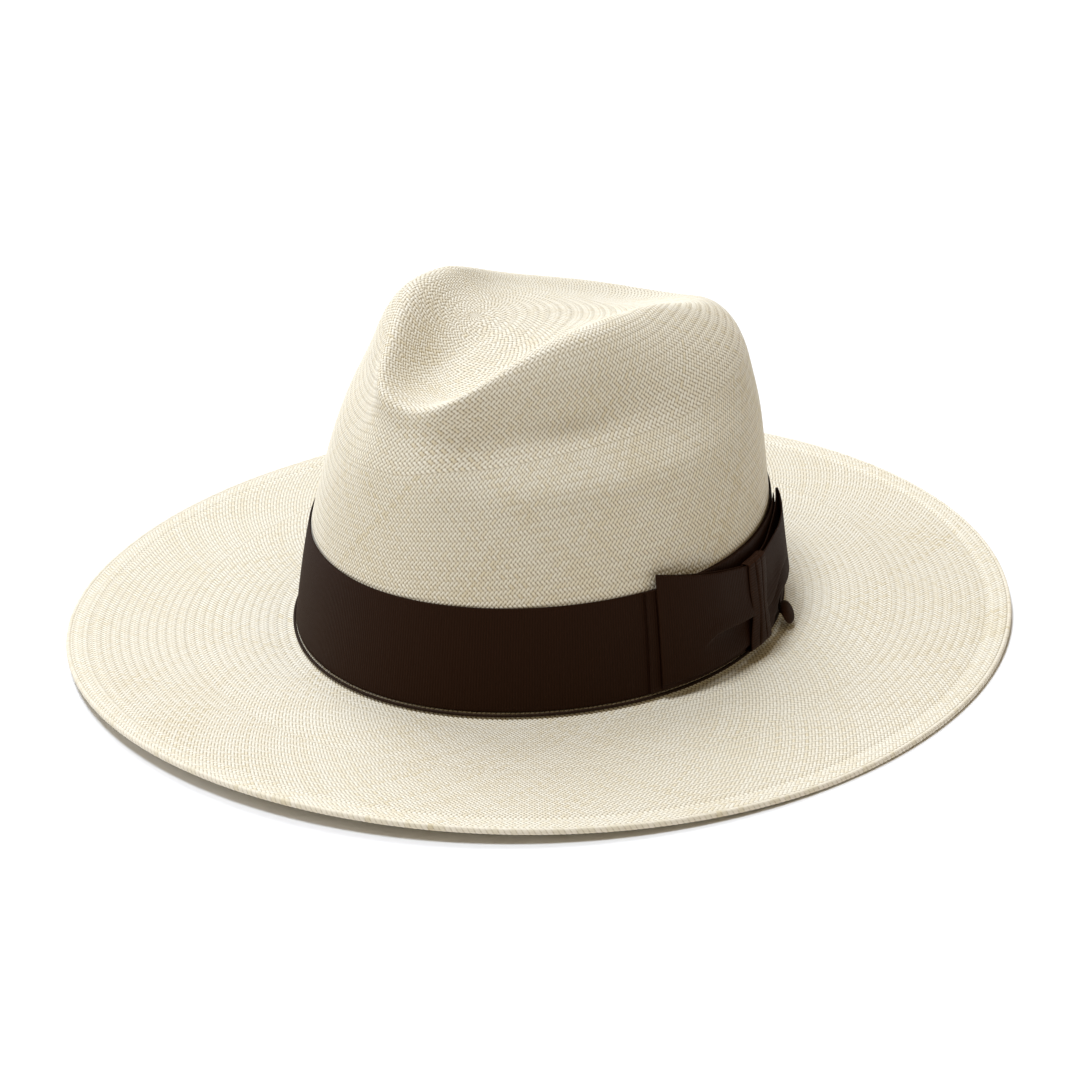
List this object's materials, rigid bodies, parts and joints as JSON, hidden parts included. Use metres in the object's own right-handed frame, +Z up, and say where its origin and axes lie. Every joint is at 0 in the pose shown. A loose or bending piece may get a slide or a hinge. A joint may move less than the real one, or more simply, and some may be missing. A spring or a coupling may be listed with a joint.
{
  "type": "wide-brim straw fedora hat",
  "caption": "Wide-brim plaited straw hat with a pinched teardrop crown, dark ribbon band and side bow, wind cord with a covered button, and a sewn-in sweatband.",
  "frame": {"origin": "on the floor under the middle of the brim outline, at the height of the lowest point of the brim edge", "axes": "+Z up through the crown, -Y to the front of the hat, +X to the wearer's left, where the bow is"},
  "size_m": [0.3498, 0.3804, 0.1359],
  "materials": {
    "straw": "bleached plaited straw, fine 2/2 twill weave",
    "edge_straw": "woven-off straw edge",
    "ribbon": "grosgrain ribbon, fine cross ribs",
    "cord": "round covered elastic cord",
    "sweatband": "soft woven cotton sweatband",
    "reed": "satin",
    "thread": "sewing thread"
  },
  "bodies": {
    "hat": {"straw_body": "straw", "brim_edge_plait": "edge_straw", "hatband_ribbon": "ribbon", "bow_under_layer": "ribbon", "bow_loops": "ribbon", "bow_knot": "ribbon", "wind_cord": "cord", "sweatband": "sweatband", "sweatband_reed": "reed", "sweatband_stitching": "thread", "sweatband_join_tape": "ribbon", "wind_button_loop": "cord"},
    "wind_button": {"wind_button": "ribbon"}
  },
  "joints": [
    {"name": "wind_button_turn", "type": "hinge", "parent": "hat", "child": "wind_button", "pos_m": [0.08993, 0.03335, 0.01301], "axis": [0.8304, 0.3311, 0.448], "range_deg": [-90, 90]}
  ]
}
